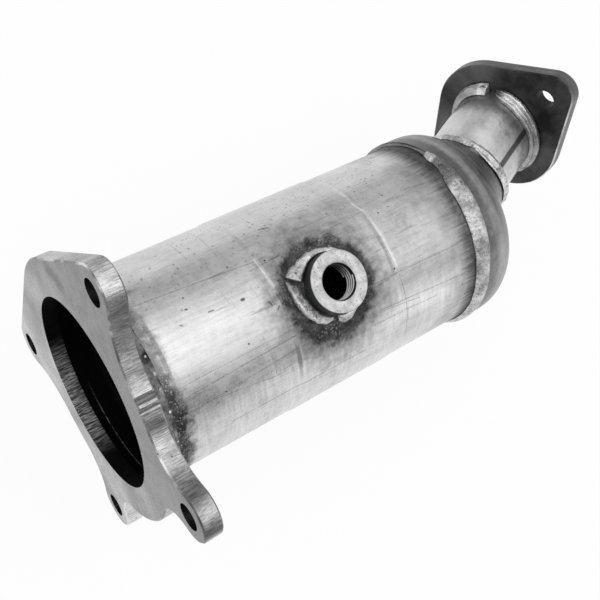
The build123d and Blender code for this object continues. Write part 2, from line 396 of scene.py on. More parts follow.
# %% [markdown]
# ### Can
# The can is rolled sheet, drawn through dies, so lines run along it. Its patterns are laid on the
# unrolled sheet: X is the distance from the inlet flange and Around the distance round from the
# top, positive on the side away from the outlet.

# %% Can patterns
can_radius = 50.8 * MM
can_steel, place, _ = start_material("can_steel_rolled", 0.95, 0.3)
can = unrolled(place, can_radius)
sheet = join(can["X"], can["Around"], can["Out"])
clouds = mottle(sheet, 42.0)
lines = streak(can["X"], can["Around"], 620.0, 0.07)
smears = streak(can["X"], can["Around"], 240.0, 0.16)
rubs = streak(can["Around"], can["X"], 420.0, 0.14)
pits = speckle(sheet, 120.0, 0.07, 0.25)
specks = speckle(sheet, 430.0, 0.3, 0.3)
print("can patterns ready")

# %% [markdown]
# The colour is built up in layers: broad clouds, fine clouds, the rolling lines, then rub marks
# that run round the low side, darker smears and scratches, and specks on the top side.

# %% Can colour
colour = ramp(clouds["Cloud"], (0.3, 0.54), (0.7, 0.68))
colour = overlay(colour, 0.5, clouds["Fine"], (0.36, 0.38), (0.66, 0.64))
colour = overlay(colour, 0.5, lines["Lines"], (0.35, 0.32), (0.66, 0.68))
low_side = ramp(can["Around"] * 10.0, (0.1, 0.1), (0.3, 0.45))
colour = overlay(colour, low_side, rubs["Lines"], (0.4, 0.4), (0.64, 0.78))
colour = blend(smears["Scratches"] * 0.42, colour, 0.14)
colour = blend(lines["Scratches"] * 0.45, colour, 0.1)
top_side = ramp(can["Around"] * 10.0 + 0.5, (0.12, 0.7), (0.32, 0.08))
rough = specks | ramp(lines["Lines"], (0.55, 0), (0.68, 0.8))
colour = blend(rough * top_side, colour, 0.2)
colour = blend(pits, colour, 0.07)
print("can colour ready")

# %% [markdown]
# These marks were read from the photograph: long creases along the can, painted dark as painted
# shade, a few small dents and chips, and lines of painted highlight and painted shade along the
# steps where the sizing dies stopped. Each row gives two points as millimetres along and degrees
# round from +Y towards +Z, then a width and a strength.

# %% Can marks
creases = [
    ((19.5, 58.7), (86.2, 64.7), 0.5, 0.5), ((75.6, 68.1), (142.7, 64.2), 0.45, 0.5),
    ((21.0, 105.4), (83.4, 104.7), 0.4, 0.35), ((22.0, 111.4), (82.2, 108.5), 0.5, 0.6),
    ((24.9, 119.1), (99.9, 114.4), 0.6, 0.6), ((20.6, 116.3), (69.5, 124.4), 0.45, 0.5),
    ((43.0, 138.6), (119.4, 139.3), 0.5, 0.6), ((127.6, 102.8), (184.0, 104.1), 0.5, 0.5),
    ((130.2, 118.1), (191.0, 123.6), 0.5, 0.55), ((125.3, 118.1), (154.5, 123.1), 0.45, 0.4),
    ((110.5, 57.6), (137.3, 57.7), 0.4, 0.45), ((169.8, 62.0), (190.5, 65.0), 0.45, 0.5),
    ((123.6, 124.8), (166.5, 127.8), 0.45, 0.4), ((145.2, 101), (147.0, 150), 0.35, 0.5),
    ((70.0, 16.8), (67.8, 52.5), 0.4, 0.4), ((57.0, 20.2), (55.5, 46.1), 0.35, 0.4),
    ((67.0, 100.8), (68.5, 123.8), 0.35, 0.35), ((58.5, 68.9), (59.7, 79.3), 0.3, 0.25)]
chips = [
    ((65.6, 79.9), (66.4, 79.9), 1.0, 0.95), ((49.2, 78.2), (51.6, 78.4), 0.45, 0.7),
    ((39.1, 71.6), (39.3, 71.6), 0.4, 0.7), ((40.9, 72.2), (41.2, 72.2), 0.7, 0.85),
    ((35.2, 78.1), (36.0, 78.9), 0.45, 0.6), ((59.4, 101.0), (59.8, 101.4), 0.55, 0.8),
    ((93.5, 47.4), (97.5, 48.6), 0.9, 0.5), ((126.8, 56.2), (127.2, 56.2), 0.7, 0.8),
    ((157.4, 67.7), (157.8, 67.7), 0.6, 0.8), ((76.6, 87.0), (77.2, 88.6), 0.7, 0.7),
    ((78.2, 87.6), (78.6, 88.9), 0.5, 0.5), ((78.9, 92.2), (80.1, 91.0), 0.5, 0.6),
    ((106.3, 68.4), (110.3, 68.0), 0.7, 0.3)]
step_highlights = [
    ((81.0, 64.0), (82.0, 86.0), 0.28, 1.0), ((142.0, 56.8), (144.0, 63.0), 0.6, 1.0),
    ((144.2, 63.0), (145.2, 99.0), 1.5, 0.5), ((82.4, 112.0), (82.8, 131.0), 1.7, 0.25)]
step_shade = [((143.3, 64.0), (144.3, 99.0), 0.4, 1.0), ((81.6, 84.0), (81.4, 98.0), 0.4, 1.0)]


def can_point(along, degrees):
    return along * MM, math.radians(degrees - 90) * can_radius


def can_marks(table):
    masks = []
    for start, end, width, strength in table:
        ends = can_point(*start), can_point(*end)
        masks.append(line_mask(can["X"], can["Around"], *ends, width * MM) * strength)
    return strongest(masks)


# Painted shade: the creases are painted dark along their lines.
crease_shade = can_marks(creases) * ramp(clouds["Grain"], (0.4, 0.25), (0.58, 1.0))
dents = can_marks(chips)
colour = blend(crease_shade, colour, 0.09)
colour = blend(dents, colour, 0.09)
# Painted highlight and painted shade: bright and dark lines along the sizing steps.
broken = ramp(clouds["Fine"], (0.36, 0.4), (0.5, 1.0))
colour = blend(can_marks(step_highlights) * broken, colour, 0.95)
colour = blend(can_marks(step_shade) * 0.35, colour, 0.1)
print(len(creases), "creases and", len(chips), "chips on the can")

# %% [markdown]
# Beside each weld the can is scorched. By the end cone the soot runs out along the rolling lines,
# and round the sensor port it is nearly black and full of small bright balls of spatter.

# %% Can soot and spatter
lower = ramp(can["Around"] * 10.0, (0.02, 0), (0.18, 1))
front = scorch(can["X"] + (1.0 - lower) * (1.5 * MM), 19, 27, clouds["Fine"], 14)
front = front * (lower * 0.3 + 0.7)
bead_middle, bead_toe = 196 * MM, 195 * MM
back = scorch(bead_middle - can["X"], 2, 30, clouds["Cloud"], 46)
edge = scorch(bead_toe - can["X"], 1, 17, lines["Lines"], 14)
soot_along, soot_aside = 106.3 * MM, 3.2 * MM
port_gap = distance(can["X"] - soot_along, can["Y"] + soot_aside)
on_top = can["Z"] > 0.0
halo = scorch(port_gap, 20, 41, clouds["Fine"], 18)
core = scorch(port_gap, 22, 31.5, clouds["Fine"], 10)
halo = (halo * 0.72 | core) * on_top
soot = strongest([front * 0.95, back * 0.4, edge * 0.9, halo * 0.95])
colour = blend(soot, colour, ramp(clouds["Fine"], (0.4, 0.01), (0.62, 0.08)))

spatter = speckle(sheet, 900.0, 0.5, 0.5)
balls = speckle(sheet, 420.0, 0.28, 0.25)
near_port = core * on_top * ramp(clouds["Cloud"], (0.42, 0.15), (0.6, 0.75))
sparks = (spatter * 0.55 | balls) * ramp(near_port | front, (0.25, 0), (0.8, 1))
colour = blend(sparks * 0.5, colour, 0.7)
print("can soot ready")

# %% [markdown]
# The inside of the can is painted near black, as soot and as painted shade, apart from a painted
# highlight: a thin bright arc on one side, where a ridge near the flange catches the light. The
# bump joins the lines, the dents and the spatter, and the soot makes the surface dull.

# %% Can inside, gloss and bump
can_inside = 49.9 * MM
inside = can["Out"] < can_inside
# Soot and painted shade: the inside of the can is near black.
colour = blend(inside, colour, 0.004)
# Painted highlight: a bright arc on one side of a ridge inside the can.
ring_place, ring_half = 12.0 * MM, 0.25 * MM
ridge_highlight = (abs(can["X"] - ring_place) < ring_half) * inside
ridge_highlight = ridge_highlight * ramp(clouds["Fine"], (0.42, 0), (0.6, 0.5))
ridge_highlight = ridge_highlight * ramp(can["Y"] * 10.0 + 0.5, (0.4, 1), (0.55, 0))
colour = blend(ridge_highlight, colour, 0.6)
gloss = ramp(clouds["Fine"], (0.3, 0.2), (0.7, 0.36))
gloss = blend((soot | inside) * 0.8, gloss, 0.6)
height = clouds["Fine"] * 0.5 + lines["Lines"] * 0.35
height = height - crease_shade * 0.5 - (pits + dents) + sparks * 1.6
finish_material(can_steel, colour, gloss, height, 0.00016)
dress("body_shell", can_steel)

# %% [markdown]
# ### Inlet flange
# The flange was cut from thick plate and its faces ground. Noise squeezed along X gives the ridges
# that the cut left across the rim. The edge break catches the light and is painted bright, a
# painted highlight; the normal's X part picks it out, as it is slanted there. The face is painted
# darker towards its top end, a painted reflection gradient, and has a smudge and a wiped streak.

# %% Inlet flange face
flange_steel, place, normal = start_material("inlet_flange_ground", 0.92, 0.3)
flange = unrolled(place, 1.0)
slant = abs(split(normal)["X"])
on_rim = ramp(slant, (0.3, 1), (0.5, 0))
break_highlight = ramp(slant, (0.4, 0), (0.55, 1)) * ramp(slant, (0.8, 1), (0.93, 0))
clouds = mottle(place, 34.0)
ridges = mottle(mapping(place, Scale=(0.1, 1.0, 1.0)), 70.0)["Grain"]
pits = speckle(place, 230.0, 0.12, 0.2)


def wiped(start, end, width):
    """A smudge between two points (y, z) of the face, in millimetres."""
    return line_mask(flange["Y"], flange["Z"], [v * MM for v in start], [v * MM for v in end],
                     width * MM)


face = ramp(clouds["Cloud"], (0.36, 0.15), (0.64, 0.42))
# Painted reflection gradient: the face gets darker towards its top, here and four lines down.
up_the_face = flange["Z"] * 5.0 + 0.5
face = overlay(face, 1.0, up_the_face, (0.05, 0.62), (0.5, 0.4), (0.75, 0.3))
face = overlay(face, 0.6, clouds["Fine"], (0.35, 0.36), (0.65, 0.68))
face = overlay(face, 0.35, clouds["Grain"], (0.35, 0.3), (0.65, 0.7))
face = blend(ramp(up_the_face, (0.5, 0.0), (0.66, 0.55)), face, 0.14)
smudges = wiped((56, 30), (46, 37), 7) | wiped((-31, 42), (-42, 60), 4) * 0.4
face = blend(smudges * 0.8, face, 0.035)
print("flange face ready")

# %% [markdown]
# Round the rim, stretches of painted highlight and painted shade lie by angle. Their places were
# read from the photograph, over the 120 degrees round the top.

# %% Inlet flange rim
rim_highlight_and_shade = [(0.0, 0.56), (0.15, 0.42), (0.26, 0.36), (0.29, 0.84), (0.33, 0.74), (0.36, 0.26),
        (0.4, 0.4), (0.45, 0.68), (0.5, 0.36), (0.55, 0.62), (0.6, 0.6), (0.65, 0.25), (0.7, 0.72),
        (0.75, 0.45), (0.8, 0.34), (0.83, 0.8), (0.868, 0.2), (0.9, 0.7)]
rim = ramp(clouds["Cloud"], (0.38, 0.24), (0.62, 0.52))
rim = overlay(rim, ramp(clouds["Fine"], (0.42, 0.2), (0.56, 1.0)), ridges, (0.4, 0.3), (0.6, 0.7))
# Painted highlights and painted shade along the rim, by angle.
rim = overlay(rim, 1.0, flange["Around"] / math.radians(120) + 0.5, *rim_highlight_and_shade, smooth=True)
colour = blend(on_rim, face, rim)
# Painted highlight on the edge break.
colour = blend(break_highlight * ramp(clouds["Cloud"], (0.45, 0.0), (0.6, 0.9)), colour, 0.75)
colour = blend(pits, colour, 0.15)
print("flange rim ready")

# %% [markdown]
# The bolt holes and the bore were drilled and bored. The bolt holes are painted near black, a
# painted shade in them. Each hole gets a mask from the distance to its centre. The bore is
# blackened by soot and painted shade, which grows with depth and leaves out a range of angles at
# the bottom, where the bore faces up. Two notches in the rim are painted dark, a painted shade in
# them.

# %% Inlet flange holes, notches and bore
bolt_ring, bolt_hole, bore_radius, notch_reach = 84.75, 6.6, 51.5, 52
plate_back, bore_depth = 8.95, 9.5
hole_shade = []
for angle in (65.4, 134.2, -134.2, -65.4):
    hole_y = bolt_ring * math.cos(math.radians(angle)) * MM
    hole_z = bolt_ring * math.sin(math.radians(angle)) * MM
    hole_shade.append(distance(flange["Y"] - hole_y, flange["Z"] - hole_z) < bolt_hole * MM)
# Painted shade: the bolt holes are near black.
colour = blend(strongest(hole_shade) * on_rim * 0.93, colour, 0.02)

# Seen upside down, the angle's seam lies at the top, away from the lighter bottom
bore = use_group(unroll, Y=flange["Y"], Z=flange["Z"] * -1.0, Radius=1.0)
notch_shade = []
for degrees, half in ((98.6, 0.024), (102.55, 0.011)):
    gap = abs(bore["Around"] - math.radians(270 - degrees))
    notch_shade.append(ramp(gap, (half * 0.6, 1), (half, 0)))
notch_shade = strongest(notch_shade) * (bore["Out"] > notch_reach * MM) * on_rim
# Painted shade in the notches.
colour = blend(notch_shade * 0.7, colour, 0.03)

bored = (bore["Out"] < bore_radius * MM) * on_rim
# Soot and painted shade in the bore, deeper in and away from the bottom.
bore_soot_and_shade = scorch(bore_depth * MM - flange["X"], -2.0, 9.0, ridges, 9)
bore_soot_and_shade = bore_soot_and_shade | ramp(abs(bore["Around"]), (0.2, 0), (0.75, 1), smooth=True)
colour = blend(bored, colour, ramp(ridges, (0.42, 0.1), (0.6, 0.85)))
colour = blend(bored * bore_soot_and_shade * 0.99, colour, 0.003)
back_face = flange["X"] > plate_back * MM
colour = blend(back_face * 0.6, colour, 0.12)
gloss = ramp(clouds["Fine"], (0.3, 0.2), (0.7, 0.36))
gloss = blend(bored * bore_soot_and_shade, gloss, 0.9)
height = ridges * on_rim + clouds["Grain"] * 0.35
finish_material(flange_steel, colour, gloss, height, 0.00022)
dress("inlet_flange", flange_steel)

# %% [markdown]
# ### Outlet flange
# This plate kept its hot-rolled skin, nearly black and blotchy, and only its rim was brushed.
# Its plane is turned, so a mapping turns the coordinates until X runs through the plate.

# %% Outlet flange material
outlet_centre = Vector((283.668, 35.625, 0.0)) * MM
outlet_turn = math.radians(15.25)
outlet_steel, place, normal = start_material("outlet_flange_skin", 0.75, 0.42)
local = mapping(place, "TEXTURE", Location=outlet_centre, Rotation=(0, 0, outlet_turn))
slant = abs(split(mapping(normal, "TEXTURE", Rotation=(0, 0, outlet_turn)))["X"])
on_rim = ramp(slant, (0.2, 1), (0.4, 0))
break_highlight = ramp(slant, (0.35, 0), (0.5, 1)) * ramp(slant, (0.8, 1), (0.95, 0))
clouds = mottle(local, 38.0)
brushed = mottle(mapping(local, Scale=(1.0, 0.05, 0.05)), 220.0)["Fine"]
spatter = speckle(local, 105.0, 0.1, 0.3)
colour = ramp(clouds["Cloud"], (0.35, 0.018), (0.72, 0.13))
colour = overlay(colour, 0.5, clouds["Fine"], (0.35, 0.3), (0.7, 0.72))
plate = split(local)
# Painted highlight: the bright edge break is kept to one side only.
break_highlight = break_highlight * ramp(plate["Y"] * 10.0 + 0.5, (0.35, 1), (0.5, 0))
hole_shift, hole_reach, hole_radius = 0.8 * MM, 44.2 * MM, 6.0 * MM
hole_gap = distance(plate["Y"] - hole_shift, abs(plate["Z"]) - hole_reach)
rim = ramp(brushed, (0.35, 0.07), (0.65, 0.19))
# Painted shade: the bolt holes' walls are near black.
rim = blend(hole_gap < hole_radius, rim, 0.025)
colour = blend(on_rim, colour, rim)
colour = blend(break_highlight * ramp(clouds["Cloud"], (0.36, 0.2), (0.5, 1.0)), colour, 0.7)
colour = blend(spatter * 0.6, colour, 0.4)
gloss = ramp(clouds["Fine"], (0.3, 0.3), (0.7, 0.55))
finish_material(outlet_steel, colour, gloss, clouds["Fine"] + spatter * 1.5, 0.0002)
dress("outlet_flange", outlet_steel)

# %% [markdown]
# ### End cone and pipe
# The end cone was pressed and spun to shape, which leaves soft rings round the can's axis, and the
# heat of two welds has dulled it. A painted highlight lies as a lighter band round its dome, and
# its low side is painted lighter as a painted reflection.

# %% End cone material
cone_steel, place, _ = start_material("end_cone_pressed", 0.92, 0.36)
cone = unrolled(place, can_radius)
clouds = mottle(place, 45.0)
rings = streak(cone["Around"], cone["X"], 420.0, 0.025)
pits = speckle(place, 150.0, 0.07, 0.25)
colour = ramp(clouds["Cloud"], (0.3, 0.15), (0.7, 0.25))
# Painted reflection: the low side is painted lighter.
low_side = ramp(cone["Around"] * 10.0, (0.0, 0.0), (0.35, 1.0))
colour = blend(low_side * 0.5, colour, 0.42)
# Painted highlight: a lighter band round the dome.
highlight_place, highlight_slope = 210.5 * MM, 0.06
shoulder_highlight = abs(cone["X"] - (highlight_place + cone["Around"] * highlight_slope))
shoulder_highlight = ramp(shoulder_highlight * 100.0, (0.06, 1), (0.34, 0), smooth=True)
colour = blend(shoulder_highlight * 0.45, colour, 0.42)
colour = overlay(colour, 0.5, rings["Lines"], (0.3, 0.3), (0.7, 0.75))
colour = overlay(colour, 0.4, clouds["Fine"], (0.35, 0.32), (0.65, 0.72))
colour = blend(pits, colour, 0.08)
scorched = scorch(cone["X"], 203, 209, clouds["Fine"], 10)
colour = blend(scorched * 0.6, colour, 0.1)
gloss = ramp(clouds["Fine"], (0.3, 0.28), (0.7, 0.45))
finish_material(cone_steel, colour, gloss, rings["Lines"] * 0.8 + clouds["Fine"] * 0.5, 0.00022)
dress("end_cone", cone_steel)

# %% [markdown]
# The pipe is welded tube: lighter, cloudy, with a painted reflection, a dark line along it, and
# scorched where the beads join it. Its coordinates are turned with the cone's neck, so X runs along
# it.

# %% Outlet pipe material
pivot = Vector((202.5, 0.0, 0.0)) * MM
cone_turn = math.radians(24.2)
pipe_radius = 25.4 * MM
pipe_steel, place, _ = start_material("outlet_pipe_drawn", 0.9, 0.34)
local = mapping(place, "TEXTURE", Location=pivot, Rotation=(0, 0, cone_turn))
pipe = unrolled(local, pipe_radius)
clouds = mottle(local, 60.0)
lines = streak(pipe["X"], pipe["Around"], 500.0, 0.07)
colour = ramp(clouds["Cloud"], (0.3, 0.5), (0.7, 0.76))
colour = overlay(colour, 0.4, clouds["Fine"], (0.35, 0.34), (0.65, 0.74))
colour = overlay(colour, 0.3, lines["Lines"], (0.35, 0.3), (0.7, 0.75))
at_neck = scorch(pipe["X"], 46, 53, clouds["Cloud"], 8)
pipe_end = 83 * MM
at_flange = scorch(pipe_end - pipe["X"], 2, 12, clouds["Cloud"], 10)
colour = blend((at_neck | at_flange) * 0.7, colour, 0.12)
reflection_line_degrees = 109
# Painted reflection: a dark line along the pipe.
reflection_line = abs(pipe["Around"] - math.radians(reflection_line_degrees - 90) * pipe_radius)
colour = blend(ramp(reflection_line * 100.0, (0.15, 1), (0.21, 0)) * 0.85, colour, 0.04)
gloss = ramp(clouds["Fine"], (0.3, 0.25), (0.7, 0.42))
finish_material(pipe_steel, colour, gloss, clouds["Fine"] + lines["Lines"] * 0.4, 0.00018)
dress("outlet_pipe", pipe_steel)

# %% [markdown]
# ### Weld metal
# A weld bead cools in ripples with a bright, slightly lumpy skin and dark flecks of slag between
# them. The ripples themselves are modelled, so the finish adds flecks and grain. Three beads have a
# look of their own, which a function lays over the common one.


# %% Weld materials
def weld_finish(name, low, high, change=None):
    """Weld metal between two grey levels. `change` may alter the colour before it is joined up."""
    material, place, _ = start_material(name, 0.9, 0.34)
    clouds = mottle(place, 120.0)
    slag = speckle(place, 420.0, 0.3, 0.3)
    colour = ramp(clouds["Cloud"], (0.34, low), (0.64, high))
    colour = overlay(colour, 0.6, clouds["Fine"], (0.35, 0.2), (0.65, 0.82))
    colour = blend(slag * 0.6, colour, 0.08)
    if change:
        colour = change(place, clouds, colour)
    gloss = ramp(clouds["Fine"], (0.3, 0.18), (0.7, 0.46))
    finish_material(material, colour, gloss, clouds["Fine"] - slag * 0.6, 0.0005)
    return material


def off_angle(around, degrees):
    """How far round a place is from an angle in degrees, in radians."""
    return abs(around + math.radians(90 - degrees))


def dull_stretch(place, clouds, colour):
    """The cone's bead starts thin and grey, and is burnt and pitted from 53 to 70 degrees."""
    around = unrolled(place, 1.0)["Around"]
    burnt = ramp(off_angle(around, 62), (0.12, 0.85), (0.19, 0), smooth=True)
    colour = blend(burnt, colour, ramp(clouds["Grain"], (0.4, 0.02), (0.6, 0.24)))
    return blend((around < math.radians(46 - 90)) * 0.85, colour, 0.16)


def bright_start(place, clouds, colour):
    """The outlet's bead is lighter from 58 to 92 degrees and at its end, and dull elsewhere."""
    around = unrolled(mapping(place, "TEXTURE", Location=outlet_centre), 1.0)["Around"]
    lighter_stretch = ramp(off_angle(around, 76), (0.2, 1), (0.42, 0), smooth=True)
    lighter_stretch = lighter_stretch | ramp(off_angle(around, 32), (0.1, 1), (0.14, 0))
    dull = ramp(clouds["Cloud"], (0.36, 0.14), (0.64, 0.42))
    return blend((1.0 - lighter_stretch) * 0.75, colour, dull)


def balled(place, clouds, colour):
    """The inlet's bead is sooted and carries small bright balls of spatter."""
    balls = speckle(place, 330.0, 0.34, 0.3)
    return blend(balls, colour, 0.85)


weld_steel = weld_finish("weld_metal", 0.3, 0.82)
cone_weld_steel = weld_finish("weld_metal_cone", 0.25, 0.69, dull_stretch)
outlet_weld_steel = weld_finish("weld_metal_outlet", 0.4, 0.95, bright_start)
sooted_weld_steel = weld_finish("weld_metal_sooted", 0.02, 0.36, balled)

# %% [markdown]
# ### Sensor port
# The port is turned from bar and then dulled by the heat, which leaves it pale and speckled. Its
# outer wall is painted darker by its slope, as soot and painted shade. In the bore, the thread's
# crests are painted white, a painted highlight, its roots painted black, a painted shade, and one
# side lies in painted shade.

# %% Port material
port_x, port_aside, outer_wall, thread_root, mouth = 109.1, 2.4, 12, 9.25, 57
port_steel, place, normal = start_material("sensor_port_turned", 0.75, 0.45)
parts = split(place)
clouds = mottle(place, 240.0)
flecks = speckle(place, 700.0, 0.4, 0.35)
colour = ramp(clouds["Cloud"], (0.34, 0.52), (0.66, 0.88))
colour = overlay(colour, 0.5, clouds["Grain"], (0.35, 0.3), (0.65, 0.75))
colour = blend(flecks * 0.5, colour, 0.2)
out_x, out_y = parts["X"] - port_x * MM, parts["Y"] + port_aside * MM
out = distance(out_x, out_y)
# Soot and painted shade: walls that don't face up are painted darker.
wall = ramp(split(normal)["Z"], (0.35, 1), (0.75, 0)) * (out > outer_wall * MM)
colour = blend(wall * 0.97, colour, ramp(clouds["Grain"], (0.45, 0.006), (0.62, 0.07)))
in_bore = (out < thread_root * MM) * (parts["Z"] < mouth * MM)
# Painted highlight on the thread's crests and painted shade in its roots.
root = ramp(out * 100.0, (0.835, 0), (0.86, 1))
colour = blend((1.0 - root) * in_bore, colour, 1.0)
colour = blend(root * in_bore, colour, 0.01)
shade = ramp(out_y.angle(out_x) / math.pi, (0.0, 0), (0.24, 0.9)) * in_bore
colour = blend(shade, colour, 0.03)
gloss = ramp(clouds["Fine"], (0.3, 0.35), (0.7, 0.6))
finish_material(port_steel, colour, gloss, clouds["Grain"], 0.00025)

# %% [markdown]
# ### Bricks, mats and seals
# The bricks are ceramic honeycomb with hundreds of square channels to the square inch, far finer
# than the solid's. A brick texture without offset draws the fine walls on their faces. The mat is
# pressed fibre and the seals are knitted wire.

# %% Brick, mat and seal materials
cell_pitch, cell_wall = 1.27 * MM, 0.17 * MM
honeycomb, place, _ = start_material("honeycomb_sooted", 0.0, 0.85)
walls = signals(add(honeycomb.node_tree, "ShaderNodeTexBrick", {
    "Vector": mapping(place, Rotation=(0, math.radians(90), 0)), "Scale": 1.0,
    "Brick Width": cell_pitch, "Row Height": cell_pitch, "Mortar Size": cell_wall,
    "Color1": 0.015, "Color2": 0.03, "Mortar": (0.12, 0.118, 0.11)}, offset=0.0, squash=1.0))
clouds = mottle(place, 60.0)
colour = blend(ramp(clouds["Cloud"], (0.4, 0.1), (0.7, 0.6)), walls["Color"], 0.07)
gloss = ramp(clouds["Fine"], (0.3, 0.75), (0.7, 0.95))
finish_material(honeycomb, colour, gloss, walls["Fac"], 0.0002)

mat_fibre, place, _ = start_material("support_mat_fibre", 0.0, 0.95)
clouds = mottle(place, 120.0)
colour = ramp(clouds["Fine"], (0.3, 0.35), (0.7, 0.6))
gloss = ramp(clouds["Cloud"], (0.3, 0.85), (0.7, 1.0))
finish_material(mat_fibre, colour, gloss, clouds["Grain"], 0.0004)

wire_seal, place, _ = start_material("seal_knitted_wire", 0.8, 0.5)
clouds = mottle(place, 180.0)
knit = speckle(place, 900.0, 0.5, 0.9)
colour = blend(knit, 0.05, ramp(clouds["Fine"], (0.3, 0.3), (0.7, 0.55)))
gloss = ramp(clouds["Cloud"], (0.3, 0.4), (0.7, 0.6))
finish_material(wire_seal, colour, gloss, knit, 0.0003)

for brick in ("front", "rear"):
    dress(brick + "_monolith", honeycomb)
    dress(brick + "_mat", mat_fibre)
    dress(brick + "_inlet_seal", wire_seal)
    dress(brick + "_outlet_seal", wire_seal)

# %% [markdown]
# ## Weld beads
# A bead is a cross-section carried round the joint. The section is a short closed ring of vertices,
# each of which remembers its number in a layer. `bmesh.ops.spin` carries it round, and then every
# vertex is moved by its number and its angle, so the bead can thin out, start with a lump, wander
# and ripple. That keeps one plain operator for the shape and leaves the hand of the welder to code.


# %% Spin a section
def spin_ring(corners, axis, start, sweep, steps):
    """Spin a closed ring of corners about "X" or "Z". A sweep that isn't full is capped."""
    mesh = bmesh.new()
    number = mesh.verts.layers.int.new("number")
    ring = []
    for index, place in enumerate(corners):
        corner = mesh.verts.new(place)
        corner[number] = index
        ring.append(corner)
    count = len(ring)
    edges = [mesh.edges.new((ring[i], ring[(i + 1) % count])) for i in range(count)]
    full = abs(sweep - 2 * math.pi) < 1e-6
    bmesh.ops.rotate(mesh, verts=ring, cent=(0, 0, 0), matrix=Matrix.Rotation(start, 3, axis))
    bmesh.ops.spin(mesh, geom=ring + edges, cent=(0, 0, 0), dvec=(0, 0, 0), angle=sweep,
                   axis=(1, 0, 0) if axis == "X" else (0, 0, 1), steps=steps, use_merge=full,
                   use_duplicate=False)
    bmesh.ops.remove_doubles(mesh, verts=mesh.verts, dist=1e-7)
    if not full:
        ends = [edge for edge in mesh.edges if edge.is_boundary]
        bmesh.ops.holes_fill(mesh, edges=ends, sides=count)
    return mesh, number


def keep_mesh(name, mesh, material, smooth=True):
    data = bpy.data.meshes.new(name)
    mesh.to_mesh(data)
    mesh.free()
    for face in data.polygons:
        face.use_smooth = smooth
    data.materials.append(material)
    piece = bpy.data.objects.new(name, data)
    bpy.context.scene.collection.objects.link(piece)
    print(name, len(data.polygons), "faces")
    return piece


def settle(piece, node):
    """Smooth the piece once, let it ride on the body and stand for its CAD node."""
    soft = piece.modifiers.new("smooth", "SUBSURF")
    soft.levels = 1
    soft.render_levels = 1
    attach(piece, "root")
    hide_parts(node)


def turn_on(angle, start):
    """The same angle, but not before the start."""
    return angle + 2 * math.pi if angle < start - 1e-4 else angle


def lay_bead(name, node, count, joint, start, sweep, steps, shape, material):
    """Spin a section of `count` vertices about the joint's X axis, and shape it:
    `shape(number, angle)` gives a vertex's place as (along the axis, away from it) in mm."""
    corners = []
    for index in range(count):
        turn = 2 * math.pi * index / count
        corners.append((0.002 * math.cos(turn), 0.05 + 0.002 * math.sin(turn), 0.0))
    mesh, number = spin_ring(corners, "X", start, sweep, steps)
    for vertex in mesh.verts:
        angle = turn_on(math.atan2(vertex.co.z, vertex.co.y), start)
        along, away = (value * MM for value in shape(vertex[number], angle))
        vertex.co = Vector((along, away * math.cos(angle), away * math.sin(angle)))
    bmesh.ops.recalc_face_normals(mesh, faces=mesh.faces)
    mesh.transform(joint)
    settle(keep_mesh(name, mesh, material), node)


# %% [markdown]
# Each bead reads a table of (degrees, values...) between its rows. Its section lies in a crown of
# vertices, spread like the points of a half circle, and two more vertices close it underneath.


# %% Read tables and place lumps
def between(table, angle):
    """Read a table at an angle, smoothly between its rows."""
    for first, second in zip(table, table[1:]):
        if first[0] <= angle <= second[0]:
            share = (angle - first[0]) / (second[0] - first[0])
            share = share * share * (3 - 2 * share)
            return [a + (b - a) * share for a, b in zip(first[1:], second[1:])]
    return list(table[-1][1:] if angle > table[-1][0] else table[0][1:])


def lump(place, size, seed):
    """A smooth random height from -1 to 1 that repeats over about `size` metres."""
    return noise.noise(Vector(place) / size + Vector((seed, 0, 0)))


def on_circle(angle, radius, third):
    return math.cos(angle) * radius, math.sin(angle) * radius, third


def crown(number, count):
    """How far across the bead one of the crown's vertices lies, from 0 to 1."""
    return 0.5 - 0.5 * math.cos(math.pi * (number + 0.5) / count)


def limited(value):
    return min(1.0, max(0.0, value))


# %% [markdown]
# ### The bead at the end cone
# It runs round the cone's skirt. From the top it starts as a thin line, ends that in a lump, has a
# rough flat stretch, and then is a broad ropey bead. The table gives its front edge, back edge,
# height and roughness at each angle, as read from the photograph.

# %% Cone weld bead
cone_bead = [
    # degrees, front, back, height, ripple, rough (mm)
    (0, 196.5, 200.5, 0.9, 0.2, 0.1), (12, 198.2, 199.7, 0.3, 0.05, 0.1),
    (30, 198.5, 199.6, 0.15, 0.03, 0.1), (44, 198.3, 199.8, 0.35, 0.03, 0.15),
    (48, 196.8, 200.6, 1.6, 0.05, 0.3), (51, 195.8, 201.4, 2.1, 0.05, 0.3),
    (53.5, 196.6, 201.6, 1.1, 0.05, 0.4), (57, 196.4, 203.2, 0.5, 0, 0.55),
    (64, 195.2, 203.6, 0.7, 0.05, 0.5), (69, 193.8, 203.5, 1.2, 0.05, 0.35),
    (74, 193.0, 203.4, 1.9, 0.2, 0.15), (90, 192.8, 203.4, 2.0, 0.2, 0.12),
    (112, 192.9, 202.8, 1.9, 0.2, 0.12), (126, 192.4, 201.5, 1.7, 0.2, 0.1),
    (150, 192.8, 201.8, 1.7, 0.25, 0.12), (200, 193.4, 202.6, 1.9, 0.3, 0.15),
    (270, 193.4, 202.9, 1.9, 0.3, 0.15), (330, 194.4, 202.6, 1.8, 0.3, 0.15),
    (346, 195.4, 201.8, 1.3, 0.25, 0.12), (360, 196.5, 200.5, 0.9, 0.2, 0.1)]
can_mm, skirt_mm, skirt_top = 50.8, 52.65, 54.1


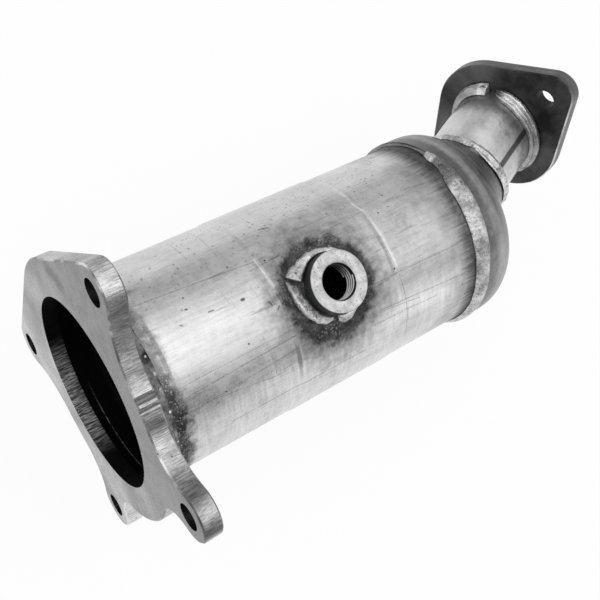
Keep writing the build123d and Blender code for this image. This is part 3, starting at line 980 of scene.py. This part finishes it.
def cone_bead_shape(number, angle):
    degrees = math.degrees(angle) % 360
    front, back, height, ripple, rough = between(cone_bead, degrees)
    if number >= 8:
        across = 1 - (number - 8 + 0.5) / 2
        along = front + 0.8 + (back - front - 1.6) * across
        return along, 50.5 if along < 199.0 else 52.3
    across = crown(number, 8)
    wander = 0.25 * lump(on_circle(angle, 1, 0), 0.25, 3.1)
    along = front + wander + (back - front) * across
    base = can_mm + (skirt_mm - can_mm) * limited((along - front) / (199.4 - front))
    wave = math.sin((degrees * 0.93 + 4.0 * abs(across - 0.45)) * 2 * math.pi / 2.3)
    here = (along * MM, math.cos(angle) * 0.052, math.sin(angle) * 0.052)
    bumps = ripple * 0.5 * wave + rough * 2.2 * lump(here, 0.0022, 7.0)
    bumps += 0.25 * lump(here, 0.008, 1.0)
    arch = math.sin(math.pi * across) ** 0.55
    return along, min(base + (height + bumps) * arch * 0.72 - 0.15, skirt_top)


lay_bead("cone_weld_bead", "cone_weld", 10, Matrix.Identity(4), 0.0, 2 * math.pi, 480,
         cone_bead_shape, cone_weld_steel)

# %% [markdown]
# ### The bead at the inlet flange
# A fillet joins the can to the back of the flange. It shows as a narrow rough ledge in the gap,
# with spatter along its toe.


# %% Inlet weld bead
def inlet_bead_shape(number, angle):
    if number >= 8:
        return ((14.0, 50.4), (9.3, 50.4))[number - 8]
    degrees = math.degrees(angle) % 360
    here = on_circle(angle, 0.053, number * 0.002)
    wander = 0.7 * lump(here, 0.02, 5.0)
    across = crown(number, 8)
    along = 9.05 + (8.0 + wander) * across
    away = 50.75 + (5.7 + 0.5 * wander) * (1 - across) ** 1.25
    wave = 0.28 * math.sin((degrees * 0.93 + 3 * across) * 2 * math.pi / 2.1)
    blobs = 1.3 * lump(here, 0.0032, 9.0) + 0.7 * lump(here, 0.0015, 11.0)
    away += (wave + blobs) * math.sin(math.pi * across) ** 0.7
    return along, min(away, 56.8)


lay_bead("inlet_weld_bead", "inlet_weld", 10, Matrix.Identity(4), 0.0, 2 * math.pi, 420,
         inlet_bead_shape, sooted_weld_steel)

# %% [markdown]
# ### The bead at the neck
# The pipe sits in the cone's neck. Its bead has its own axis, turned with the neck, so it is made
# round X and then carried there by a matrix. A groove parts a strand from it on the top side.

# %% Neck weld bead
neck_bead = [
    # degrees, front, back, height, ripple, strand (mm)
    (0, 45.6, 51.4, 1.8, 0.15, 0), (20, 45.4, 51.2, 1.8, 0.1, 0), (45, 45.0, 51.2, 1.9, 0.05, 0),
    (57, 44.6, 51.6, 2.5, 0.05, 0), (62, 44.8, 51.8, 3.0, 0.05, 0),
    (65.5, 46.4, 51.4, 1.2, 0.05, 0), (70, 45.4, 51.8, 1.6, 0.1, 0.6),
    (80, 43.6, 52.0, 2.5, 0.25, 1.1), (92, 42.8, 52.0, 2.9, 0.3, 0.9),
    (112, 43.0, 52.0, 2.9, 0.3, 0.3), (135, 44.0, 51.8, 2.6, 0.25, 0),
    (200, 45.6, 51.6, 2.2, 0.3, 0), (300, 45.6, 51.6, 2.2, 0.3, 0), (360, 45.6, 51.4, 1.8, 0.15, 0)]
neck_mm, pipe_mm = 27.25, 25.4


def neck_bead_shape(number, angle):
    if number >= 12:
        return ((50.0, 25.1), (47.2, 26.6))[number - 12]
    degrees = math.degrees(angle) % 360
    front, back, height, ripple, strand = between(neck_bead, degrees)
    here = on_circle(angle, 0.027, number * 0.001)
    across = crown(number, 12)
    along = front + (back - front) * across + 0.2 * lump(here, 0.012, 2.0)
    base = neck_mm + (pipe_mm - neck_mm) * limited((along - 48.6) / 1.4)
    base += 0.35 * max(0.0, 45.6 - along)
    wave = math.sin((degrees * 0.49 + 3 * abs(across - 0.5)) * 2 * math.pi / 1.9)
    groove = strand * math.exp(-((across - 0.3) / 0.1) ** 2)
    bumps = ripple * 0.5 * wave + 0.7 * lump(here, 0.003, 4.0)
    arch = math.sin(math.pi * across) ** 0.6
    return along, base - 0.1 + (height * 0.75 - groove + bumps) * arch


neck_place = Matrix.Translation(pivot) @ Matrix.Rotation(cone_turn, 4, "Z")
lay_bead("neck_weld_bead", "neck_weld", 14, neck_place, 0.0, 2 * math.pi, 300, neck_bead_shape,
         weld_steel)

# %% [markdown]
# ### The bead at the outlet flange
# This one is open: the welder stopped and started with a gap between. On its near side it was laid
# in two passes, which show as two ridges. The angle table starts after the gap.

# %% Outlet weld bead
outlet_bead = [
    # degrees, toe on the pipe, height on the flange, two ridges (mm)
    (47, -3.4, 3.0, 1.0), (53, -5.2, 4.6, 1.1), (62, -6.4, 5.4, 1.1), (80, -6.8, 5.6, 1.0),
    (100, -6.6, 5.4, 1.0), (120, -6.0, 5.2, 0.7), (150, -5.6, 5.2, 0.4), (250, -5.6, 5.2, 0.2),
    (340, -5.8, 5.4, 0.1), (375, -6.0, 5.6, 0.05), (396, -6.4, 6.0, 0.0)]
bead_start, bead_sweep = math.radians(47), math.radians(396 - 47)


def outlet_bead_shape(number, angle):
    if number >= 14:
        return ((-0.05, 24.9), (-3.5, 24.9))[number - 14]
    degrees = math.degrees(angle)
    toe, rise, ridges = between(outlet_bead, degrees)
    rough = lump(on_circle(angle, 0.010, number * 0.0012), 0.0022, 6.0)
    across = (number + 0.5) / 14
    along = toe * (1 - across) - 0.02 * across + 0.3 * rough * (1 - across)
    away = 25.3 + (rise + 0.25 * rough) * across
    belly = math.sin(math.pi * across)
    double = -math.cos(4 * math.pi * across) * 0.95 * ridges
    wave = 0.12 * math.sin((degrees * 0.5 + 4 * across) * 2 * math.pi / 1.8)
    push = belly * (1.3 + wave + 1.1 * rough) + double * belly ** 0.5
    return along - push * 0.62, away + push * 0.62


outlet_place = Matrix.Translation(outlet_centre) @ Matrix.Rotation(outlet_turn, 4, "Z")
lay_bead("outlet_weld_bead", "outlet_weld", 16, outlet_place, bead_start, bead_sweep, 300,
         outlet_bead_shape, outlet_weld_steel)

# %% [markdown]
# ### The sensor port
# The port is a turned ring with an M18 thread. A ring is what a spin makes best: half its section
# is spun round, with the mouth's chamfer and the rounded outer edge in it. Its foot is then dropped
# onto the can's curve. The thread is a zigzag strip spun with a rise of one pitch to each turn, as
# a lathe cuts it, and its doubles are merged so that the turns join. Its pitch is drawn coarser
# than the real 1.5 mm, so that the turns still show from a distance.

# %% Sensor port
port_section = [
    # away from the port's axis, height (mm)
    (9.15, 46.8), (11.3, 46.8), (11.3, 49.6), (14.7, 49.6), (14.7, 57.1), (14.6, 57.45),
    (14.35, 57.7), (14.0, 57.8), (9.45, 57.8), (9.3, 57.72), (8.65, 57.05), (9.15, 56.6)]
thread_section = [(9.14, 0), (8.25, 0.36), (8.25, 0.64), (9.14, 1)]  # away (mm), share of pitch
thread_start, thread_top, pitch = 46.85 * MM, 56.7 * MM, 1.95 * MM
thread_steps, thread_turns = 72, 4
seat_height, seat_radius = 49.6 * MM, 50.7 * MM
port_lean = math.radians(2.5)
port_place = Matrix.Translation(Vector((port_x, 0, 0)) * MM) @ Matrix.Rotation(port_lean, 4, "X")


def cut_thread(mesh):
    """Add the thread to the port's mesh, with its faces turned towards the axis."""
    strip = [mesh.verts.new((away * MM, 0, thread_start + pitch * share))
             for away, share in thread_section]
    zigzag = [mesh.edges.new(pair) for pair in zip(strip, strip[1:])]
    bmesh.ops.spin(mesh, geom=strip + zigzag, cent=(0, 0, 0), axis=(0, 0, 1),
                   dvec=(0, 0, pitch / thread_steps), angle=2 * math.pi * thread_turns,
                   steps=thread_steps * thread_turns, use_merge=False, use_duplicate=False)
    thread = [vertex for vertex in mesh.verts if thread_start < vertex.co.z < thread_top
              and math.hypot(vertex.co.x, vertex.co.y) < 9.2 * MM]
    bmesh.ops.remove_doubles(mesh, verts=thread, dist=2e-6)
    thread = {vertex for vertex in thread if vertex.is_valid}
    ridges = [face for face in mesh.faces if all(vertex in thread for vertex in face.verts)]
    print("thread", len(ridges), "faces")
    for face in ridges:
        middle = face.calc_center_median()
        if face.normal.dot(Vector((middle.x, middle.y, 0))) > 0:
            face.normal_flip()


def sensor_port():
    mesh, _ = spin_ring([Vector((away, 0, z)) * MM for away, z in port_section], "Z", 0.0,
                        2 * math.pi, 96)
    for vertex in mesh.verts:
        away, z = math.hypot(vertex.co.x, vertex.co.y), vertex.co.z
        if (z < 50 * MM and away > 12 * MM) or abs(z - seat_height) < 1e-6:
            vertex.co.z = math.sqrt(seat_radius ** 2 - vertex.co.y ** 2)
    bmesh.ops.recalc_face_normals(mesh, faces=mesh.faces)
    cut_thread(mesh)
    mesh.transform(port_place)
    return keep_mesh("sensor_port", mesh, port_steel)


port = sensor_port()
port.data.set_sharp_from_angle(angle=math.radians(32))
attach(port, "root")
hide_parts("sensor_boss")

# %% [markdown]
# ### The beads round the sensor port
# The port was welded in three strokes: a flat broad leaf above, a crescent below with a raised
# outer lip, and a short tab at the end. They lie on the can's curved side, so each vertex is given
# as a distance from the port's axis and a height above the can, and is then laid on the cylinder.

# %% Port weld beads
down = Vector((0, -math.sin(port_lean), math.cos(port_lean)))
aside = Vector((0, math.cos(port_lean), math.sin(port_lean)))


def on_can(away, angle, height):
    """A point `away` from the port's axis, from +X towards +Y, `height` above the can (mm)."""
    flat = away * math.sin(angle)
    radius = can_mm + height
    deep = math.sqrt(radius * radius - flat * flat)
    return Vector((port_x + away * math.cos(angle), 0, 0)) + flat * aside + deep * down


def port_bead(name, node, section, steps, seed, table):
    """Spin a section about Z and lay it on the can. The table gives, at each angle, the inner and
    outer radius, the height and a skew. The section gives (share across, share of height)."""
    start, stop = math.radians(table[0][0]), math.radians(table[-1][0])
    corners = [(0.01 + 0.005 * across, 0, 0.003 * lift + 0.0001 * index)
               for index, (across, lift) in enumerate(section)]
    mesh, number = spin_ring(corners, "Z", start, stop - start, steps)
    for vertex in mesh.verts:
        angle = turn_on(math.atan2(vertex.co.y, vertex.co.x), start)
        across, lift = section[vertex[number]]
        inner, outer, high, skew = between(table, math.degrees(angle))
        away = inner + (outer - inner) * across
        turned = angle + math.radians(skew) * (1 - across)
        place = on_circle(turned, away * MM, 0)
        grown = high * lift
        if lift > 0:
            rough = 0.45 * lump(place, 0.0028, seed) + 0.3 * lump(place, 0.0012, seed + 3)
            grown += rough * min(1.0, lift * 1.5)
            away += 0.35 * lump(place, 0.003, seed + 5) * across
        vertex.co = on_can(away, turned, grown) * MM
    bmesh.ops.recalc_face_normals(mesh, faces=mesh.faces)
    settle(keep_mesh(name, mesh, weld_steel), node)


leaf = [(0.0, -0.25), (0.02, 0.5), (0.08, 0.93), (0.3, 1.0), (0.55, 0.98), (0.78, 0.88),
        (0.92, 0.55), (1.0, -0.1), (0.5, -0.25)]
crescent = [(0.0, -0.25), (0.02, 0.5), (0.2, 0.66), (0.42, 0.78), (0.6, 0.9), (0.76, 1.0),
            (0.92, 0.8), (1.0, -0.1), (0.5, -0.3)]
# Rows: degrees, inner, outer (mm), height, skew (degrees)
port_bead("port_weld_leaf", "boss_weld_upper", leaf, 90, 2.0, [
    (34, 14.3, 15.2, 1.2, 0), (45, 14.3, 17.2, 1.8, 0), (73, 14.4, 17.4, 2.4, 0),
    (96, 14.7, 17.9, 3.0, 0), (112, 14.9, 18.9, 3.3, 0), (128, 15.0, 20.2, 3.4, 0),
    (142, 15.3, 23.0, 3.4, 2), (151, 16.2, 24.6, 3.2, 6)])
port_bead("port_weld_crescent", "boss_weld_lower", crescent, 80, 4.0, [
    (155, 18.6, 24.2, 1.0, 2), (162, 17.6, 23.8, 2.0, 0), (174, 16.8, 22.8, 2.6, 0),
    (194, 15.4, 22.0, 2.9, 0), (216, 15.2, 20.8, 2.9, 0), (233, 15.2, 19.6, 2.3, 0),
    (248, 15.2, 16.8, 0.6, 0)])
port_bead("port_weld_tab", "boss_weld_end", leaf, 40, 6.0, [
    (256, 14.4, 17.6, 1.6, 0), (266, 14.4, 19.3, 3.4, 0), (276, 14.4, 19.0, 3.8, 0),
    (290, 14.4, 17.4, 3.2, 0), (304, 14.4, 15.4, 1.2, 0)])

# %% [markdown]
# ## Floor and light
# The floor is white where the camera and glossy rays see it, and keeps a soft shadow because part
# of it is still lit as a plain diffuse floor.

# %% Floor
lowest = min(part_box(node)[0].z for node in nodes)
floor_gap = 0.4 * MM
floor_mesh = bmesh.new()
bmesh.ops.create_grid(floor_mesh, x_segments=1, y_segments=1, size=4.0)
bmesh.ops.translate(floor_mesh, verts=floor_mesh.verts, vec=(0, 0, lowest - floor_gap))
floor_paint = bpy.data.materials.new("floor_white")
floor_paint.use_nodes = True
tree = floor_paint.node_tree
tree.nodes.remove(tree.nodes["Principled BSDF"])
matt = add(tree, "ShaderNodeBsdfDiffuse", {"Color": 0.86})
glow = add(tree, "ShaderNodeEmission", {"Strength": 1.0})
rays = signals(add(tree, "ShaderNodeLightPath"))
seen = rays["Is Camera Ray"] | rays["Is Glossy Ray"] | rays["Is Transmission Ray"]
mix = add(tree, "ShaderNodeMixShader", {"Fac": seen * 0.93})
feed(mix.inputs[1], Signal(matt.outputs[0]))
feed(mix.inputs[2], Signal(glow.outputs[0]))
feed(tree.nodes["Material Output"].inputs["Surface"], Signal(mix.outputs[0]))
floor = keep_mesh("floor", floor_mesh, floor_paint, smooth=False)

# %% [markdown]
# The world works as a studio round the part: pale low walls, a long soft box overhead and a dark
# gap beside it, which gives the steel its dark line. Its brightness depends on the turn about X,
# read as a ramp, and three such ramps take over from each other along X.

# %% World
world = bpy.data.worlds.new("studio")
bpy.context.scene.world = world
world.use_nodes = True
tree = world.node_tree
direction = split(Signal(add(tree, "ShaderNodeTexCoord").outputs["Generated"]))
turn = direction["Z"].angle(direction["Y"]) / math.pi
sides = {
    "near": [(0, 0.52), (0.155, 0.54), (0.22, 0.76), (0.29, 1.18), (0.355, 1.5), (0.42, 1.55),
             (0.49, 1.4), (0.555, 1.3), (0.62, 1.32), (0.69, 0.9), (0.735, 0.55), (0.748, 0.36),
             (0.82, 0.15), (0.885, 0.18), (0.925, 0.6), (1, 1.05)],
    "middle": [(0, 0.66), (0.155, 0.64), (0.29, 0.58), (0.355, 0.64), (0.49, 0.72), (0.555, 0.9),
               (0.62, 1.0), (0.69, 0.64), (0.755, 0.72), (0.82, 1.15), (0.89, 1.35), (1, 1.55)],
    "far": [(0, 0.7), (0.22, 0.62), (0.5, 0.58), (0.6, 0.6), (0.7, 0.62), (0.83, 0.9),
            (0.92, 1.1), (1, 1.2)]}
brightest = 1.6
levels = {name: ramp(turn, *[(place, level / brightest) for place, level in stops])
          for name, stops in sides.items()}
studio = blend(ramp(direction["X"], (0.3, 0), (0.58, 1)), levels["near"], levels["middle"])
studio = blend(ramp(direction["X"], (0.6, 0), (0.85, 1)), studio, levels["far"])
studio = blend(1.0, studio, brightest, "MULTIPLY")
rays = signals(add(tree, "ShaderNodeLightPath"))
feed(tree.nodes["Background"].inputs["Color"], blend(rays["Is Camera Ray"], studio, 1.0))
print("studio ready")

# %% [markdown]
# A large, weak lamp above deepens the soft shadow. A second, low and weak, opens up the flange's
# face.


# %% Lamps
def softbox(name, place, aim, size, power):
    data = bpy.data.lights.new(name, "AREA")
    data.shape = "RECTANGLE"
    data.size = size
    data.size_y = size
    data.energy = power
    lamp = bpy.data.objects.new(name, data)
    bpy.context.scene.collection.objects.link(lamp)
    facing = (Vector(aim) - Vector(place)).to_track_quat("-Z", "Y")
    lamp.matrix_world = Matrix.Translation(place) @ facing.to_matrix().to_4x4()


softbox("softbox_over", (0.40, -0.02, 1.05), (0.05, 0, 0.03), 0.7, 0.4)
softbox("softbox_front", (-0.9, 0.3, 0.5), (0, 0, 0), 0.6, 0.4)
print("lamps ready")
